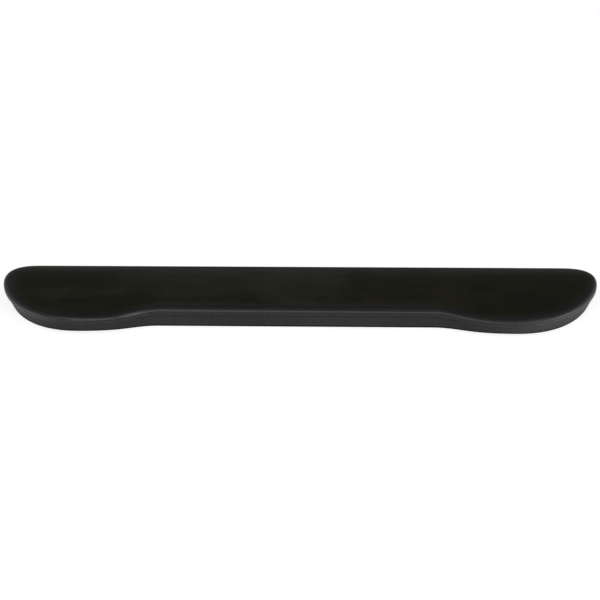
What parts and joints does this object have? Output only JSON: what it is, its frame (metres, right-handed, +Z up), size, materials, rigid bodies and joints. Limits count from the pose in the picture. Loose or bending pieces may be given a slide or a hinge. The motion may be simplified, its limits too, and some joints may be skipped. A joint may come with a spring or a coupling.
{
  "type": "keyboard wrist rest",
  "caption": "Low cushioned strip for the front of a keyboard: glossy gel-filled skin with piped seam on a matte textured tray, straight rear edge, rounded ends, palm lobes and recessed waist.",
  "frame": {"origin": "bottom centre: the middle of the length and of the greatest depth, on the plane of the desk", "axes": "+X along the rest, +Y towards the keyboard (the straight edge), -Y towards the user (the lobes), +Z up"},
  "size_m": [0.483, 0.074, 0.019],
  "materials": {
    "skin": "smooth glossy polyurethane skin with a very faint grain",
    "piping": "satin polyurethane strip folded over a cord",
    "tray_plastic": "matte, finely textured moulded elastomer",
    "grip_rubber": "matte non-slip rubber with a fine moulded pattern",
    "gel": "soft translucent gel",
    "soft_foam": "open-cell soft foam",
    "firm_foam": "closed-cell firm foam",
    "board": "plain stiff sheet",
    "adhesive": "clear double-sided adhesive sheet",
    "film": "thin clear film",
    "cord": "solid round cord"
  },
  "bodies": {
    "root": {"grip_sheet": "grip_rubber", "grip_adhesive": "adhesive", "base_tray": "tray_plastic", "board_adhesive_lower": "adhesive", "stiffener_board": "board", "board_adhesive_upper": "adhesive", "support_foam": "firm_foam", "foam_adhesive": "adhesive", "comfort_foam": "soft_foam", "cushion_adhesive": "adhesive", "gel_backing_film": "film", "rim_adhesive": "adhesive", "piping_cord": "cord", "piping_wrap": "piping", "cushion_skin": "skin", "gel_core": "gel"}
  },
  "joints": []
}
